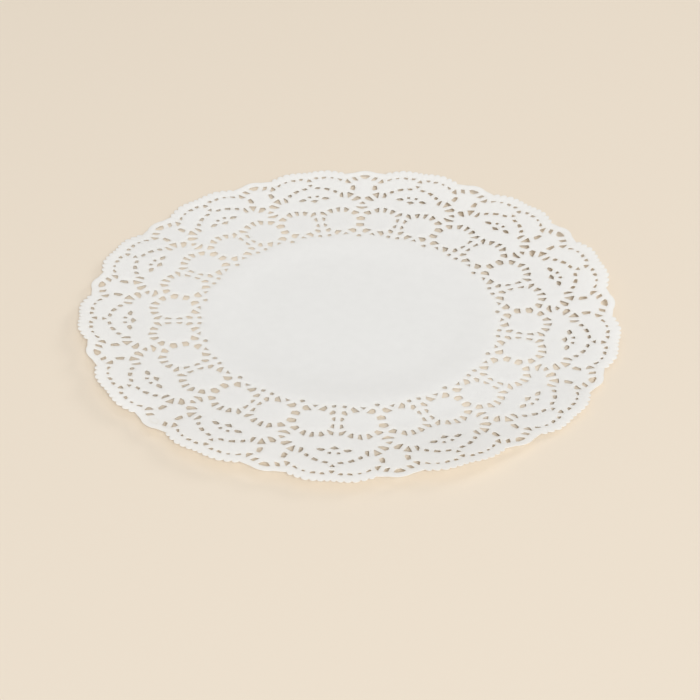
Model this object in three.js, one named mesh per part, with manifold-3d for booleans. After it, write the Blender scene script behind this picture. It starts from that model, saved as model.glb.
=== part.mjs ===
// A round lace paper doily, lying on a surface. Millimetres, +Z up.
// The origin is the middle of the plain centre's underside, on the surface.
// One sheet: a plain flat centre, and a pierced border that rises a little to a scalloped rim.
// The border is one repeat, thirteen times round. A repeat has two mirror axes: the joint
// between two fans, which ends in a small smooth lobe, and the middle of a fan, which ends
// in a wide scallop with small teeth.

import * as THREE from 'three';
import { mergeVertices } from 'three/addons/utils/BufferGeometryUtils.js';
import Module from 'manifold-3d';

const wasm = await Module();
wasm.setup();

// Driving dimensions
const repeats = 13;
const firstJoint = 3.5;
const sheetThickness = 1;
const liftRadius = 147;

// Paper white with a soft matt surface
const paperColour = 0xe9e8e6;
const paperRoughness = 0.85;

const repeatAngle = 360 / repeats;
const toFan = repeatAngle / 2;

// The small smooth lobe at a joint: radii by the angle from the joint's axis, up to the notch
// where the scallop's teeth start
const lobeEdge = [
  { sweep: 0.0, radius: 148.0 },
  { sweep: 0.9, radius: 147.8 },
  { sweep: 1.7, radius: 147.2 },
  { sweep: 2.4, radius: 146.4 },
];

// The gaps between the teeth of half a scallop, from the notch to the fan's middle. The tooth
// is the height of the next tooth over the straight line between its two gaps.
const toothGaps = [
  { sweep: 5.0, radius: 145.4, tooth: 1.3 },
  { sweep: 6.4, radius: 146.4, tooth: 1.5 },
  { sweep: 7.95, radius: 147.8, tooth: 1.5 },
  { sweep: 9.7, radius: 148.8, tooth: 1.2 },
  { sweep: 11.2, radius: 148.8, tooth: 1.1 },
  { sweep: 12.65, radius: 148.5, tooth: 0.95 },
  { sweep: toFan, radius: 148.3, tooth: 0 },
];

// The largest holes, in millimetres across from the joint's axis and out from the middle, corner
// by corner. A hole on the axis is given by one side, and one beside it has a mirror twin.
const laceHoles = [
  { onAxis: true, corners: [[0, 102.6], [2.6, 101.3], [2.4, 99.0], [1.5, 98.3]] },
  { onAxis: true, corners: [[2.2, 95.2], [2.3, 92.4], [0, 91.4]] },
  { onAxis: false, corners: [[2.1, 88.9], [3.9, 89.9], [7.1, 88.4], [3.4, 85.0], [1.8, 86.3]] },
  { onAxis: false, corners: [[10.1, 87.0], [13.7, 87.4], [14.5, 84.3], [12.9, 82.2]] },
];

// How the sheet leaves the surface. Each row lifts the border from one radius out to the rim,
// all round or, where a bearing is given, on that side only.
const liftPower = 1.6;
const lifts = [
  { from: 96, rise: 2.3 },
  { from: 36, rise: 6.3, bearing: 38, spread: 48 },
  { from: 36, rise: 5.9, bearing: 255, spread: 60 },
  { from: 96, rise: 5.1, bearing: 296, spread: 18.5 },
  { from: 64, rise: -4.75, bearing: 296, spread: 62 },
  { from: 60, rise: -0.7, bearing: 139, spread: 16 },
  { from: 116, rise: 2.0, bearing: 17, spread: 16 },
  { from: 116, rise: 1.9, bearing: 193, spread: 16 },
];

// The unpierced slab: spokes and rings fine enough to follow the lifts
const slabSpokes = repeats * 4;
const slabRings = [36, 52, 66, 80, 92, 104, 116, 128, 140, 152];
const cutterReach = 20;

const radians = (degrees) => THREE.MathUtils.degToRad(degrees);

function onRing(radius, degrees) {
  const angle = radians(degrees);
  return new THREE.Vector2(radius * Math.cos(angle), radius * Math.sin(angle));
}

// Height of the underside above the surface
function sheetHeight(x, y) {
  const radius = Math.hypot(x, y);
  const bearing = THREE.MathUtils.radToDeg(Math.atan2(y, x));
  let height = 0;
  for (const lift of lifts) {
    const along = Math.max(0, (radius - lift.from) / (liftRadius - lift.from));
    let share = 1;
    if (lift.bearing !== undefined) {
      const aside = THREE.MathUtils.euclideanModulo(bearing - lift.bearing + 180, 360) - 180;
      share = Math.exp(-((aside / lift.spread) ** 2));
    }
    height += lift.rise * share * along ** liftPower;
  }
  return Math.max(0, height);
}

// One repeat of the edge, from a joint's axis to the next one
function repeatEdge(joint) {
  const half = [...lobeEdge];
  toothGaps.forEach((gap, index) => {
    half.push(gap);
    if (index < toothGaps.length - 1) {
      const next = toothGaps[index + 1];
      const radius = (gap.radius + next.radius) / 2 + gap.tooth;
      half.push({ sweep: (gap.sweep + next.sweep) / 2, radius });
    }
  });
  const otherHalf = half
    .slice(1, -1)
    .map((row) => ({ sweep: repeatAngle - row.sweep, radius: row.radius }))
    .reverse();
  return [...half, ...otherHalf].map((row) => onRing(row.radius, joint + row.sweep));
}

// A hole as a closed path, on one side of a joint's axis (1 or -1)
function holePath(hole, joint, side) {
  const mirrored = hole.corners.filter(([across]) => across > 0).map(([across, out]) => [-across, out]);
  const corners = hole.onAxis ? [...hole.corners, ...mirrored.reverse()] : hole.corners;
  const middle = new THREE.Vector2(0, 0);
  const points = corners.map(([across, out]) =>
    new THREE.Vector2(out, side * across).rotateAround(middle, radians(joint)),
  );
  return new THREE.Path(points);
}

function solidOf(geometry) {
  const bare = geometry.index ? geometry.toNonIndexed() : geometry.clone();
  bare.deleteAttribute('normal');
  bare.deleteAttribute('uv');
  const merged = mergeVertices(bare, 1e-4);
  const corners = merged.index.array;
  const kept = [];
  for (let i = 0; i < corners.length; i += 3) {
    const [a, b, c] = corners.slice(i, i + 3);
    if (a !== b && b !== c && c !== a) {
      kept.push(a, b, c);
    }
  }
  const mesh = new wasm.Mesh({
    numProp: 3,
    vertProperties: new Float32Array(merged.attributes.position.array),
    triVerts: new Uint32Array(kept),
  });
  return new wasm.Manifold(mesh);
}

function geometryOf(solid) {
  const { vertProperties, triVerts } = solid.getMesh();
  const geometry = new THREE.BufferGeometry();
  geometry.setAttribute('position', new THREE.BufferAttribute(vertProperties, 3));
  geometry.setIndex(new THREE.BufferAttribute(triVerts, 1));
  geometry.computeVertexNormals();
  return geometry;
}

// The slab is turned from a closed profile, then every point is lifted with the sheet
function slab() {
  const underside = slabRings.map((radius) => new THREE.Vector2(radius, 0));
  const topSide = slabRings.map((radius) => new THREE.Vector2(radius, sheetThickness)).reverse();
  const profile = [
    new THREE.Vector2(0, 0),
    ...underside,
    ...topSide,
    new THREE.Vector2(0, sheetThickness),
  ];
  const geometry = new THREE.LatheGeometry(profile, slabSpokes).rotateX(Math.PI / 2);
  const points = geometry.attributes.position;
  for (let i = 0; i < points.count; i += 1) {
    points.setZ(i, points.getZ(i) + sheetHeight(points.getX(i), points.getY(i)));
  }
  return geometry;
}

// The outline with its holes, as a tall prism
function piercedOutline() {
  const edge = [];
  const holes = [];
  for (let repeat = 0; repeat < repeats; repeat += 1) {
    const joint = firstJoint + repeat * repeatAngle;
    edge.push(...repeatEdge(joint));
    for (const hole of laceHoles) {
      holes.push(holePath(hole, joint, 1));
      if (!hole.onAxis) {
        holes.push(holePath(hole, joint, -1));
      }
    }
  }
  const outline = new THREE.Shape(edge);
  outline.holes = holes;
  const options = { depth: 2 * cutterReach, bevelEnabled: false, curveSegments: 1 };
  return new THREE.ExtrudeGeometry(outline, options).translate(0, 0, -cutterReach);
}

const paper = new THREE.MeshStandardMaterial({
  color: paperColour,
  roughness: paperRoughness,
  metalness: 0,
});

const doily = new THREE.Mesh(geometryOf(solidOf(slab()).intersect(solidOf(piercedOutline()))), paper);
doily.name = 'doily';

const model = new THREE.Group();
model.add(doily);

export default model;
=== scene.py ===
import bpy
import numpy as np
from mathutils import Matrix, Vector
from mathutils.geometry import delaunay_2d_cdt


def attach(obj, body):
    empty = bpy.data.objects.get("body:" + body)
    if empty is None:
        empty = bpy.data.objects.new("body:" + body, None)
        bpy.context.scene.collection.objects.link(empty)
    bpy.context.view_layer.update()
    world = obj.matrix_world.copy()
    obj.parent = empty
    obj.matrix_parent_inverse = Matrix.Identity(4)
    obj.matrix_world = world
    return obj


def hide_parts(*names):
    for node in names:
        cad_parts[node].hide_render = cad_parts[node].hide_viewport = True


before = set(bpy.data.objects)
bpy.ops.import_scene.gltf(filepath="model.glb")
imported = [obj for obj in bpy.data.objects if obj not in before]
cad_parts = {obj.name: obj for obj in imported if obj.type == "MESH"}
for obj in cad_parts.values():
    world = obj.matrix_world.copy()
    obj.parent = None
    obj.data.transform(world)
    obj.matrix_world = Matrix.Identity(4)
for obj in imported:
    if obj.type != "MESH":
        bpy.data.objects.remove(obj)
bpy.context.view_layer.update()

# Lengths are millimetres and angles degrees, until mm takes them to Blender's metres.
mm = 0.001


def srgb(code):
    # sRGB hex to linear: c / 12.92 up to 0.04045, above it ((c + 0.055) / 1.055) ^ 2.4
    parts = [int(code[i:i + 2], 16) / 255 for i in (1, 3, 5)]
    return [c / 12.92 if c <= 0.04045 else ((c + 0.055) / 1.055) ** 2.4 for c in parts] + [1.0]


def onRing(radius, angle):
    # radius * (cos(angle), sin(angle)), the angle from the joint's axis, which is the local X axis
    turned = np.radians(angle)
    return np.stack([radius * np.cos(turned), radius * np.sin(turned)], axis=-1)


# Camera, as the photo sees the sheet
view = {
    "elevation": 36.1,
    "roll": 0.52,
    "aim": (0.35, -30.1, 0.0),   # the point of the surface in the middle of the frame
    "distance": 1174.0,
    "lens": 110.9,
    "sensor": 36.0,
    "farthest": 20000.0,         # nothing past this is seen
}


def makeCamera():
    # The camera stands at aim + distance * (0, -cos(elevation), sin(elevation)), looks at the aim
    # and is rolled about that line.
    data = bpy.data.cameras.new("camera")
    data.lens = view["lens"]
    data.sensor_width = view["sensor"]
    data.clip_end = view["farthest"] * mm
    camera = bpy.data.objects.new("camera", data)
    bpy.context.scene.collection.objects.link(camera)
    pitch = np.radians(view["elevation"])
    back = Vector((0, -np.cos(pitch), np.sin(pitch)))
    place = Vector(view["aim"]) * mm + back * view["distance"] * mm
    facing = (-back).to_track_quat("-Z", "Y").to_matrix().to_4x4()
    roll = Matrix.Rotation(np.radians(view["roll"]), 4, "Z")
    camera.matrix_world = Matrix.Translation(place) @ facing @ roll
    bpy.context.scene.camera = camera


makeCamera()
print("camera set")

# The doily is one repeat thirteen times round. A repeat has two mirror axes: the joint between
# two fans, which ends in a small smooth lobe, and the fan's middle, which ends in a wide
# scallop with teeth. Everything is charted in the half repeat from a joint to a fan's middle.
doily = {
    "repeats": 13,
    "firstJoint": 3.5,          # bearing of one joint, anticlockwise of +X
    "thickness": 0.2,           # a little over the paper's 0.15, so that its edge shows
    "crest": 150.0,             # radius at the tallest teeth
    "cornerRound": 0.32,        # the holes' corners start this far from their tips
    "cornerShare": 0.4,         # or this share of a side, if that is less
    "smoothUnder": 50,          # faces that meet at less than this are shaded as one
    # one lobe hole is only scored, its paper still in it: its repeat and chart row, both from 0
    "unpunched": {"repeat": 8, "hole": 30},
}
toFan = 180 / doily["repeats"]

# The edge: a round hump on the small lobe, whose shoulders fall to the notch where the teeth start
rim = {
    "humpTop": 148.0,
    "humpFoot": 146.4,
    "humpSweep": 2.4,
    "toothRoundness": 0.65,     # below 1 the tooth is blunt and the gap between two is sharp
    "lobePoints": 11,           # from the lobe's middle to the notch
    "toothPoints": 7,           # along each tooth
}
# The gaps between the teeth, from the notch to the fan's middle, and the tooth that follows each:
# sweep from the joint's axis, radius, and the tooth's height over the line to the next gap
toothGaps = [
    {"sweep": 5.0, "radius": 145.3, "tooth": 1.5},
    {"sweep": 6.4, "radius": 146.3, "tooth": 1.7},
    {"sweep": 7.95, "radius": 147.65, "tooth": 1.7},
    {"sweep": 9.7, "radius": 148.6, "tooth": 1.4},
    {"sweep": 11.2, "radius": 148.6, "tooth": 1.35},
    {"sweep": 12.65, "radius": 148.3, "tooth": 1.2},
    {"sweep": toFan, "radius": 148.1, "tooth": 0.0},
]

# The lift: each row raises the border from one radius out to the rim, to one side of the doily or,
# where it has no spread, all round. The first six rows are the sheet's bend. The others are a lobe
# and single scallops that stand or droop.
liftPower = 1.6
liftRadius = 147.0
lifts = [
    {"from": 96, "rise": 2.3, "bearing": 0, "spread": None},
    {"from": 36, "rise": 6.3, "bearing": 38, "spread": 48},
    {"from": 36, "rise": 5.9, "bearing": 255, "spread": 60},
    {"from": 96, "rise": 5.1, "bearing": 296, "spread": 18.5},
    {"from": 64, "rise": -4.75, "bearing": 296, "spread": 62},
    {"from": 60, "rise": -0.7, "bearing": 139, "spread": 16},
    {"from": 116, "rise": 2.0, "bearing": 17, "spread": 16},
    {"from": 108, "rise": -0.9, "bearing": 48, "spread": 13},
    {"from": 108, "rise": -1.1, "bearing": 143, "spread": 8},
    {"from": 116, "rise": 1.9, "bearing": 193, "spread": 16},
    {"from": 108, "rise": -1.2, "bearing": 223, "spread": 7},
    {"from": 108, "rise": 1.6, "bearing": 327, "spread": 8},
]

# The lace border stands this much off the surface even where it isn't lifted, once it has eased
# up between two radii
border = {"standOff": 0.8, "easeFrom": 58, "easeTo": 80}

# Where the die cuts, it rolls the paper down by this much over this width
cutRoll = {"depth": 0.12, "width": 0.45}

# The lace, charted in millimetres with the axis pointing up: how far across from the axis
# and how far out from the doily's middle, corner by corner, clockwise. A hole on an axis is given
# by its right half. A hole beside the joint's axis has a mirror twin.
laceChart = [
    # the ring of medallions round the plain centre
    {"stands": "onJoint", "corners": ((0.4, 83.7), (1.5, 82.3), (0.9, 81.2))},
    {"stands": "onJoint", "corners": ((2.2, 95.2), (2.3, 92.4), (0, 91.4))},
    {"stands": "onJoint", "corners": ((0, 102.6), (2.6, 101.3), (2.4, 99.0), (1.5, 98.3))},
    {"stands": "beside", "corners": ((2.1, 88.9), (3.9, 89.9), (7.1, 88.4), (3.4, 85.0), (1.8, 86.3))},
    {"stands": "beside", "corners": ((6.0, 83.8), (7.9, 85.5), (9.4, 82.6), (7.9, 83.3))},
    {"stands": "beside", "corners": ((10.1, 87.0), (13.7, 87.4), (14.5, 84.3), (12.9, 82.2))},
    {"stands": "beside", "corners": ((16.8, 88.3), (17.8, 89.3), (19.9, 87.4), (19.2, 85.2),
                                   (17.5, 85.1))},
    {"stands": "beside", "corners": ((16.6, 82.7), (17.6, 82.8), (18.4, 82.0), (18.2, 80.6),
                                   (17.7, 80.0), (15.9, 81.1))},
    {"stands": "beside", "corners": ((21.2, 94.0), (21.6, 93.4), (20.9, 90.4), (20.4, 90.3),
                                   (19.4, 91.2), (19.4, 92.5))},
    {"stands": "beside", "corners": ((20.9, 99.6), (23.1, 100.0), (22.2, 96.4), (21.0, 96.4))},
    {"stands": "beside", "corners": ((22.6, 105.7), (24.5, 105.9), (24.0, 103.0), (20.1, 102.0),
                                   (19.9, 102.4))},
    {"stands": "beside", "corners": ((17.7, 109.1), (18.8, 109.2), (20.5, 107.2), (17.8, 104.6),
                                   (16.8, 105.2))},
    {"stands": "beside", "corners": ((13.1, 111.4), (15.5, 110.3), (14.3, 106.4), (13.0, 106.4))},
    {"stands": "beside", "corners": ((7.3, 109.4), (10.1, 111.4), (10.5, 110.9), (10.4, 106.6),
                                   (9.0, 106.2))},
    {"stands": "beside", "corners": ((1.4, 106.8), (4.7, 108.4), (6.1, 105.2), (4.5, 103.8),
                                   (1.5, 105.5))},
    # between the medallions and the fans
    {"stands": "onJoint", "corners": ((0, 112.3), (3.3, 112.6), (3.2, 111.4), (0, 109.6))},
    {"stands": "onJoint", "corners": ((0, 117.6), (2.0, 115.6), (1.3, 114.9))},
    {"stands": "beside", "corners": ((1.4, 122.0), (3.7, 122.9), (6.9, 118.6), (6.3, 118.2),
                                   (4.1, 118.2), (1.3, 120.0))},
    {"stands": "beside", "corners": ((5.3, 125.0), (9.2, 126.8), (9.7, 126.3), (9.1, 121.0),
                                   (8.7, 120.8))},
    {"stands": "beside", "corners": ((12.5, 126.3), (13.1, 126.4), (14.2, 123.8), (13.7, 121.3),
                                   (11.7, 121.3), (12.0, 123.5))},
    # the fan: a cluster under an arc
    {"stands": "onFan", "corners": ((0, 121.2), (2.6, 120.2), (0, 117.9))},
    {"stands": "beside", "corners": ((26.6, 122.1), (28.5, 122.0), (28.2, 120.1), (27.0, 120.1),
                                   (26.4, 121.2))},
    {"stands": "beside", "corners": ((19.9, 120.0), (21.3, 120.8), (23.0, 121.1), (24.0, 120.5),
                                   (24.6, 119.2), (24.0, 118.5), (21.4, 118.4))},
    {"stands": "beside", "corners": ((16.2, 127.9), (18.0, 128.4), (18.4, 127.0), (18.1, 126.2),
                                   (16.6, 125.2), (15.7, 126.6))},
    {"stands": "beside", "corners": ((20.3, 129.7), (23.2, 130.5), (24.0, 129.8), (23.9, 128.7),
                                   (21.1, 127.4))},
    {"stands": "beside", "corners": ((26.1, 130.6), (28.9, 130.7), (29.6, 129.3), (29.2, 128.8),
                                   (27.0, 128.6))},
    {"stands": "onFan", "corners": ((1.6, 136.6), (0, 134.0))},
    # the lobe and the arc along the scallop
    {"stands": "beside", "corners": ((5.7, 133.7), (7.7, 133.2), (8.2, 129.6), (6.0, 128.4),
                                   (5.3, 129.2), (5.2, 131.0))},
    {"stands": "beside", "corners": ((10.7, 140.1), (11.7, 137.1), (11.4, 135.9), (9.0, 135.5),
                                   (7.9, 135.8))},
    {"stands": "beside", "corners": ((5.9, 142.0), (8.1, 141.4), (6.6, 138.6), (6.0, 138.4),
                                   (3.8, 138.4))},
    {"stands": "onJoint", "corners": ((1.9, 143.9), (3.3, 142.9), (1.1, 140.2))},
    {"stands": "onFan", "corners": ((0.3, 142.4), (1.4, 140.6), (1.5, 139.5))},
    {"stands": "beside", "corners": ((28.5, 140.6), (29.4, 140.8), (31.3, 139.9), (29.8, 138.4),
                                   (28.5, 138.8))},
    {"stands": "beside", "corners": ((23.7, 141.7), (26.2, 141.1), (26.3, 139.9), (25.7, 139.0),
                                   (23.7, 140.0))},
    {"stands": "beside", "corners": ((19.0, 141.0), (20.6, 141.4), (21.1, 140.6), (20.8, 140.1),
                                   (19.2, 139.7))},
    {"stands": "beside", "corners": ((13.9, 139.4), (16.2, 140.4), (16.8, 139.9), (14.6, 137.7),
                                   (13.6, 138.5))},
]

meshing = {
    "wideStep": 3.4,        # between mesh points in the plain centre
    "fineStep": 1.95,       # and in the lace
    "fineFrom": 76.0,       # the radius where the lace's step takes over
    "collar": 0.45,         # mesh points this far off the holes' corners, and twice as far off the rim
    "clear": 0.38,          # no free point is nearer a cut edge than this
    "onAxis": 1e-4,         # a point this near an axis is on it
    "merged": 1e-5,         # points this near each other are one
}
cornerPoints = 3            # along the round of a hole's corner


def holeOutline(row):
    # The corners, with their mirror twins where the hole stands on an axis. Each corner becomes a
    # parabola's start, middle and end: corner - reach, (start + end) / 4 + corner / 2, corner + reach.
    across, out = np.array(row["corners"], dtype=float).T
    if row["stands"] != "beside":
        twin = across[::-1] > 0
        across, out = np.append(across, -across[::-1][twin]), np.append(out, out[::-1][twin])
    turn = toFan if row["stands"] == "onFan" else 0
    corners = out[:, None] * onRing(1.0, turn) + across[:, None] * onRing(1.0, turn + 90)
    toNext = np.roll(corners, -1, axis=0) - corners
    length = np.linalg.norm(toNext, axis=1, keepdims=True)
    reach = toNext / length * np.minimum(doily["cornerRound"], doily["cornerShare"] * length)
    start, end = corners - np.roll(reach, 1, axis=0), corners + reach
    return np.stack([start, (start + end) / 4 + corners / 2, end], axis=1).reshape(-1, 2)


def rimOutline():
    # lobe: foot + hump * (1 - (sweep / humpSweep)^2), then straight down to the notch;
    # scallop: the line through the gaps + tooth * |sin(pi * share of the tooth)| ^ roundness
    gapSweep, gapRadius, tooth = (np.array([gap[name] for gap in toothGaps])
                                  for name in ("sweep", "radius", "tooth"))
    lobeSweep = np.linspace(0, gapSweep[0], rim["lobePoints"])[:-1]
    hump = (rim["humpTop"] - rim["humpFoot"]) * np.clip(1 - (lobeSweep / rim["humpSweep"]) ** 2, 0, None)
    shoulder = np.interp(lobeSweep, [rim["humpSweep"], gapSweep[0]], [rim["humpFoot"], gapRadius[0]])
    along = np.linspace(0, len(tooth) - 1, (len(tooth) - 1) * rim["toothPoints"] + 1)
    sweep = np.interp(along, np.arange(len(tooth)), gapSweep)
    line = np.interp(along, np.arange(len(tooth)), gapRadius)
    blunt = np.abs(np.sin(np.pi * along)) ** rim["toothRoundness"]
    scallop = line + tooth[np.minimum(along.astype(int), len(tooth) - 1)] * blunt
    return np.concatenate([lobeSweep, sweep]), np.concatenate([shoulder + hump, scallop])


def cutEdges():
    # Every cut of the half repeat. The holes' points stand in one row, hole after hole, each with
    # the next and the last point round its own hole, and first says where each hole begins. A
    # straight piece of any cut runs from its start to its end.
    outlines = [holeOutline(row) for row in laceChart]
    holes = np.concatenate(outlines)
    holeNext = np.concatenate([np.roll(outline, -1, axis=0) for outline in outlines])
    holeLast = np.concatenate([np.roll(outline, 1, axis=0) for outline in outlines])
    sweep, radius = rimOutline()
    edge = onRing(radius, sweep)
    return {
        "holes": holes,
        "next": holeNext,
        "last": holeLast,
        "first": np.cumsum([0] + [len(outline) for outline in outlines])[:-1],
        "sweep": sweep,
        "radius": radius,
        "edge": edge,
        "starts": np.concatenate([holes, edge[:-1]]),
        "ends": np.concatenate([holeNext, edge[1:]]),
    }


def distanceToCuts(points, cuts):
    # from each point to the nearest start + share * along, where share is
    # (point - start) . along / along^2, kept between 0 and 1
    along = cuts["ends"] - cuts["starts"]
    reach = points[:, None] - cuts["starts"][None]
    share = np.clip((reach * along).sum(2) / (along * along).sum(1), 0, 1)
    return np.linalg.norm(reach - share[..., None] * along, axis=2).min(axis=1)


def holeAround(points, cuts):
    # The hole that each point is in, or -1 in the paper between: a ray from the point towards +X
    # crosses an odd number of that hole's sides.
    x, y = points[:, :1], points[:, 1:]
    starts, ends = cuts["holes"], cuts["next"]
    rise = ends[:, 1] - starts[:, 1]
    rise[rise == 0] = 1.0       # a level side is never crossed, so its slope doesn't matter
    crossX = starts[:, 0] + (y - starts[:, 1]) / rise * (ends[:, 0] - starts[:, 0])
    crosses = ((starts[:, 1] > y) != (ends[:, 1] > y)) & (x < crossX)
    inside = np.add.reduceat(crosses.astype(int), cuts["first"], axis=1) % 2 == 1
    return np.where(inside.any(axis=1), inside.argmax(axis=1), -1)


def inHalf(points, margin, cuts):
    # whether a point is inside the rim and more than margin off both axes of the half repeat
    angle = np.degrees(np.arctan2(points[:, 1], points[:, 0]))
    within = np.linalg.norm(points, axis=1) < np.interp(angle, cuts["sweep"], cuts["radius"])
    return (points[:, 1] > margin) & (points @ onRing(1.0, toFan - 90) > margin) & within


def honeycomb(step, reach):
    # (step * i, step * sqrt(3) / 2 * j), every second row shifted by half a step
    rows = np.arange(0, reach, step * np.sqrt(3) / 2)
    across = np.arange(0, reach, step)
    grid = np.stack(np.meshgrid(across, rows), axis=-1)
    grid[1::2, :, 0] += step / 2
    return grid.reshape(-1, 2)


def axisLine(angle, end, cuts):
    # from the middle along an axis to its end on the rim, in wide and then in fine steps that
    # keep clear of the cuts
    radii = np.concatenate([
        np.arange(0, meshing["fineFrom"], meshing["wideStep"]),
        np.arange(meshing["fineFrom"], doily["crest"], meshing["fineStep"]),
    ])[1:]
    line = onRing(radii[radii < np.linalg.norm(end) - meshing["clear"]], angle)
    line = line[distanceToCuts(line, cuts) > meshing["clear"]]
    return np.concatenate([[[0.0, 0.0]], line, [end]])


def collarPoints(cuts):
    # One point off each corner of a hole, at corner + collar * away, and off every second point of
    # the rim. The outlines run anticlockwise, so away from a hole is to the right of its edge.
    tangent = cuts["next"] - cuts["last"]
    tangent = tangent / np.linalg.norm(tangent, axis=1, keepdims=True)
    away = np.stack([tangent[:, 1], -tangent[:, 0]], axis=1)
    offHoles = (cuts["holes"] + away * meshing["collar"])[1::cornerPoints]
    offRim = onRing(cuts["radius"][1:-1:2] - 2 * meshing["collar"], cuts["sweep"][1:-1:2])
    collar = np.concatenate([offHoles, offRim])
    collar = collar[inHalf(collar, meshing["clear"] / 2, cuts)]
    return collar[distanceToCuts(collar, cuts) > meshing["clear"]]


def freePoints(cuts):
    # honeycombs, fine in the lace where they keep clear of the cuts, and wide in the plain centre
    fine = honeycomb(meshing["fineStep"], doily["crest"])
    fine = fine[np.linalg.norm(fine, axis=1) > meshing["fineFrom"]]
    fine = fine[inHalf(fine, meshing["fineStep"] / 2, cuts)]
    fine = fine[distanceToCuts(fine, cuts) > 2 * meshing["collar"]]
    wideTo = meshing["fineFrom"] - meshing["wideStep"] / 2
    wide = honeycomb(meshing["wideStep"], wideTo)
    wide = wide[np.linalg.norm(wide, axis=1) < wideTo]
    return np.concatenate([fine, wide[inHalf(wide, meshing["wideStep"] / 2, cuts)]])


def halfRepeat():
    # The lace from a joint's axis to a fan's middle, as the Delaunay triangles that keep the rim,
    # both axes and every hole's outline as edges: its points, the triangles with the hole that
    # each fills (or -1), and each point's distance to the nearest cut.
    cuts = cutEdges()
    edge, holes, first = cuts["edge"], cuts["holes"], cuts["first"]
    lines = [edge, axisLine(0, edge[0], cuts), axisLine(toFan, edge[-1], cuts)]
    groups = lines + [holes, collarPoints(cuts), freePoints(cuts)]
    firstPoint = np.cumsum([0] + [len(group) for group in groups])
    chains = [np.stack([np.arange(len(line) - 1), np.arange(1, len(line))], axis=1) + at
              for line, at in zip(lines, firstPoint)]
    nextOf = np.arange(1, len(holes) + 1)
    nextOf[np.append(first[1:], len(holes)) - 1] = first
    loops = np.stack([np.arange(len(holes)), nextOf], axis=1) + firstPoint[len(lines)]
    made = delaunay_2d_cdt(
        list(map(Vector, np.concatenate(groups).tolist())),
        np.concatenate(chains + [loops]).tolist(), [], 0, meshing["merged"], False
    )
    points, triangles = np.array(made[0]), np.array(made[2])
    middles = points[triangles].mean(axis=1)
    kept = inHalf(middles, 0.0, cuts)
    hole = holeAround(middles[kept], cuts)
    return points, triangles[kept], hole, distanceToCuts(points, cuts)


def wholeSheet():
    # Thirteen half repeats and thirteen mirrored ones, each turned to its joint's bearing. Those
    # that meet on an axis share the points there, and all share the middle.
    points, triangles, hole, toCut = halfRepeat()
    count = len(points)
    repeats = doily["repeats"]
    onJoint = np.abs(points[:, 1]) < meshing["onAxis"]
    onFan = np.abs(points @ onRing(1.0, toFan - 90)) < meshing["onAxis"]
    bearings = np.radians(doily["firstJoint"] + np.arange(repeats) * 2 * toFan)
    turn = np.stack([np.cos(bearings), np.sin(bearings), -np.sin(bearings), np.cos(bearings)], axis=1)
    both = np.stack([points, points * (1, -1)])
    placed = np.einsum("spi,kij->kspj", both, turn.reshape(repeats, 2, 2))
    numbers = np.arange(repeats * 2 * count).reshape(repeats, 2, count)
    numbers[:, 1, onJoint] = numbers[:, 0, onJoint]
    numbers[:, 1, onFan] = np.roll(numbers[:, 0], 1, axis=0)[:, onFan]
    numbers[..., onJoint & onFan] = numbers[0, 0, onJoint & onFan]
    uncut = triangles[hole < 0]
    scored = triangles[hole == doily["unpunched"]["hole"]]
    scoredNumbers = numbers[doily["unpunched"]["repeat"]]
    faces = np.concatenate([
        numbers[:, 0][:, uncut].reshape(-1, 3),
        numbers[:, 1][:, uncut[:, ::-1]].reshape(-1, 3),
        scoredNumbers[0][scored],
        scoredNumbers[1][scored[:, ::-1]],
    ])
    used, faces = np.unique(faces, return_inverse=True)
    flat = placed.reshape(-1, 2)[used]
    return flat, faces.reshape(-1, 3), np.tile(toCut, repeats * 2)[used]


def sheetHeight(flat):
    # The sum of rise * side * ((radius - from) / (liftRadius - from)) ^ liftPower, where side is the
    # bell exp(-(degrees off the bearing / spread) ^ 2), and of standOff * ease^2 * (3 - 2 * ease).
    radius = np.linalg.norm(flat, axis=1)
    bearing = np.degrees(np.arctan2(flat[:, 1], flat[:, 0]))
    height = np.zeros(len(flat))
    for lift in lifts:
        share = np.clip((radius - lift["from"]) / (liftRadius - lift["from"]), 0, None)
        side = 1.0
        if lift["spread"]:
            aside = (bearing - lift["bearing"] + 180) % 360 - 180
            side = np.exp(-((aside / lift["spread"]) ** 2))
        height += lift["rise"] * side * share ** liftPower
    ease = np.clip((radius - border["easeFrom"]) / (border["easeTo"] - border["easeFrom"]), 0, 1)
    return np.clip(height, 0, None) + border["standOff"] * ease * ease * (3 - 2 * ease)


def closedShell(faces, count):
    # The top side, the under side and a wall along each cut. A triangle's side is on a cut when no
    # other triangle has it the other way round. The top's points come count after the under side's.
    sides = np.concatenate([faces[:, [0, 1]], faces[:, [1, 2]], faces[:, [2, 0]]])
    forward = sides[:, 0] * count + sides[:, 1]
    backward = sides[:, 1] * count + sides[:, 0]
    start, end = sides[~np.isin(forward, backward)].T
    walls = np.concatenate([
        np.column_stack([start + count, start, end]),
        np.column_stack([start + count, end, end + count]),
    ])
    return np.concatenate([faces + count, faces[:, ::-1], walls])


def flatArea(flat, faces):
    # half the cross product of two sides, summed over the triangles, in square metres
    corner = flat[faces]
    sideA, sideB = corner[:, 1] - corner[:, 0], corner[:, 2] - corner[:, 0]
    return np.abs(sideA[:, 0] * sideB[:, 1] - sideA[:, 1] * sideB[:, 0]).sum() / 2 * mm * mm


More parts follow.
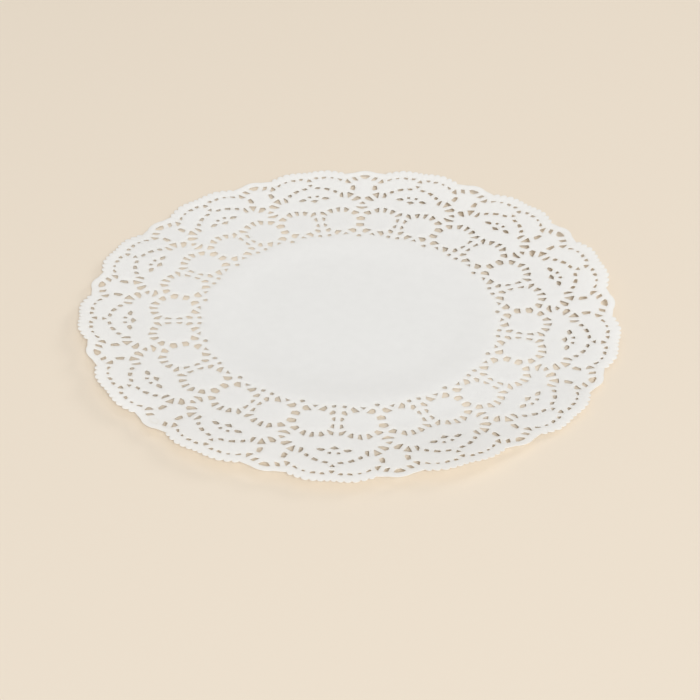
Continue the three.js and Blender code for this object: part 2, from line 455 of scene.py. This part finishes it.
def buildDoily():
    # The under side is the flat sheet raised by its height - depth * exp(-(distance to the nearest
    # cut / width) ^ 2), and the top side is the same a thickness higher.
    flat, faces, toCut = wholeSheet()
    roll = cutRoll["depth"] * np.exp(-((toCut / cutRoll["width"]) ** 2))
    under = sheetHeight(flat) - roll
    low = np.column_stack([flat, under])
    high = np.column_stack([flat, under + doily["thickness"]])
    triangles = closedShell(faces, len(flat))
    mesh = bpy.data.meshes.new("lacePaperSheet")
    mesh.from_pydata((np.concatenate([low, high]) * mm).tolist(), [], triangles.tolist())
    mesh.shade_smooth()
    mesh.set_sharp_from_angle(angle=np.radians(doily["smoothUnder"]))
    nearCut = mesh.attributes.new("nearCut", "FLOAT", "POINT")
    closeness = np.exp(-np.concatenate([toCut, toCut]) / paper["cutTintReach"])
    nearCut.data.foreach_set("value", closeness.astype(np.float32))
    sheet = bpy.data.objects.new("lacePaperSheet", mesh)
    bpy.context.scene.collection.objects.link(sheet)
    area = flatArea(flat, faces)
    print("doily built:", len(triangles), "triangles, flat area", round(area, 5))
    return sheet, area


# The paper's looks. Its real fibres, some 0.03 mm wide, wouldn't show even close up, so the grain is
# drawn coarser.
paper = {
    "thinPulp": "#F4F3F0",
    "thickPulp": "#F9F8F5",
    "cloudSize": 7.0,           # between thick and thin pulp
    "fibreSize": 0.7,
    "fibreHeight": 0.06,
    "fibreStrength": 0.35,      # the share of that height that shows
    "cutTint": "#E9E4DA",       # crushed fibres along a cut
    "cutTintShare": 0.35,       # how much of the tint the cut itself takes
    "cutTintReach": 0.5,        # and how far off it that has fallen to about a third
    "lightReach": 1.0,          # how far light spreads inside the sheet
}


def addNode(tree, kind, settings=(), links=()):
    # one shader node: settings are {socket or property: value}, links are {socket: where from}
    node = tree.nodes.new(kind)
    for name, value in dict(settings).items():
        if isinstance(name, str) and hasattr(node, name):
            setattr(node, name, value)
        else:
            node.inputs[name].default_value = value
    for name, source in dict(links).items():
        tree.links.new(source, node.inputs[name])
    return node


def newMaterial(name):
    # a material whose shader tree is still empty
    material = bpy.data.materials.new(name)
    material.use_nodes = True
    tree = material.node_tree
    tree.nodes.clear()
    return material, tree


def bleachedDoilyPaper():
    # Bleached, uncoated, lightly calendered paper. To the eye: a matt, faintly cloudy white, where
    # pulp lies thicker and thinner, with a fibre grain that shows only close up.
    material, tree = newMaterial("bleachedDoilyPaper")
    place = addNode(tree, "ShaderNodeTexCoord").outputs["Object"]
    cloud = addNode(tree, "ShaderNodeTexNoise",
                    {"Scale": 1 / (paper["cloudSize"] * mm), "Detail": 3.0, "Roughness": 0.55},
                    {"Vector": place})
    fibres = addNode(tree, "ShaderNodeTexNoise",
                     {"Scale": 1 / (paper["fibreSize"] * mm), "Detail": 4.0, "Roughness": 0.6,
                      "Distortion": 0.6},
                     {"Vector": place})
    white = addNode(tree, "ShaderNodeMix",
                    {"data_type": "RGBA", "A": srgb(paper["thinPulp"]), "B": srgb(paper["thickPulp"])},
                    {"Factor": cloud.outputs["Fac"]})
    nearCut = addNode(tree, "ShaderNodeAttribute", {"attribute_name": "nearCut"})
    tintShare = addNode(tree, "ShaderNodeMath", {"operation": "MULTIPLY", 1: paper["cutTintShare"]},
                        {0: nearCut.outputs["Fac"]})
    tinted = addNode(tree, "ShaderNodeMix", {"data_type": "RGBA", "B": srgb(paper["cutTint"])},
                     {"Factor": tintShare.outputs[0], "A": white.outputs["Result"]})
    grain = addNode(tree, "ShaderNodeBump",
                    {"Strength": paper["fibreStrength"], "Distance": paper["fibreHeight"] * mm},
                    {"Height": fibres.outputs["Fac"]})
    sheetPaper = addNode(tree, "ShaderNodeBsdfPrincipled",
                         {"Roughness": 0.78, "IOR": 1.5, "Subsurface Weight": 0.3,
                          "Subsurface Radius": (paper["lightReach"] * mm,) * 3, "Subsurface Scale": 1.0},
                         {"Base Color": tinted.outputs["Result"], "Normal": grain.outputs["Normal"]})
    addNode(tree, "ShaderNodeOutputMaterial", {}, {"Surface": sheetPaper.outputs["BSDF"]})
    return material


def paleTableTop():
    # A plain matt table top in a pale warm white, so that the holes read a light tan. To the eye:
    # no grain, no gloss, only the doily's soft shadow.
    material, tree = newMaterial("paleTableTop")
    board = addNode(tree, "ShaderNodeBsdfPrincipled",
                    {"Base Color": srgb("#EFE2D0"), "Roughness": 0.9})
    addNode(tree, "ShaderNodeOutputMaterial", {}, {"Surface": board.outputs["BSDF"]})
    return material


sheet, sheetArea = buildDoily()
sheet.data.materials.append(bleachedDoilyPaper())
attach(sheet, "root")
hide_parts("doily")
print("paper made, doily laid")

# The surface that the doily lies on, and soft studio light
studio = {
    "floorHalf": 12000.0,       # so wide that no view sees its end
    "floorDrop": 0.05,          # it lies this far under the doily, which keeps the two faces apart
    "skyColour": "#FFF9F2",
    "skyStrength": 0.36,
}
# Square lamps that face the doily's middle: place and width in metres, power in watts
lamps = [
    {"name": "wideFront", "at": (0.9, -6.4, 4.72), "size": 1.8, "watts": 520.0, "colour": "#F8FCFF"},
    {"name": "softOverhead", "at": (-0.1, 0.1, 1.6), "size": 1.4, "watts": 2.5, "colour": "#F9FAFF"},
    {"name": "rakeFromBackRight", "at": (2.4, 1.7, 1.5), "size": 1.0, "watts": 18.0, "colour": "#FFFDF9"},
]


def makeStudio():
    # the table top is a square of side 2 * floorHalf, under an even sky and the lamps
    half = studio["floorHalf"] * mm
    corners = [(-half, -half), (half, -half), (half, half), (-half, half)]
    mesh = bpy.data.meshes.new("tableTop")
    mesh.from_pydata([(x, y, -studio["floorDrop"] * mm) for x, y in corners], [], [(0, 1, 2, 3)])
    mesh.materials.append(paleTableTop())
    tableTop = bpy.data.objects.new("tableTop", mesh)
    bpy.context.scene.collection.objects.link(tableTop)
    world = bpy.data.worlds.new("studio")
    world.use_nodes = True
    world.node_tree.nodes["Background"].inputs["Color"].default_value = srgb(studio["skyColour"])
    world.node_tree.nodes["Background"].inputs["Strength"].default_value = studio["skyStrength"]
    bpy.context.scene.world = world
    for lamp in lamps:
        data = bpy.data.lights.new(lamp["name"], "AREA")
        data.energy = lamp["watts"]
        data.size = lamp["size"]
        data.color = srgb(lamp["colour"])[:3]
        light = bpy.data.objects.new(lamp["name"], data)
        light.matrix_world = (Matrix.Translation(lamp["at"])
                              @ Vector(lamp["at"]).to_track_quat("Z", "Y").to_matrix().to_4x4())
        bpy.context.scene.collection.objects.link(light)
    bpy.context.scene.view_settings.view_transform = "Standard"


makeStudio()
print("studio set")
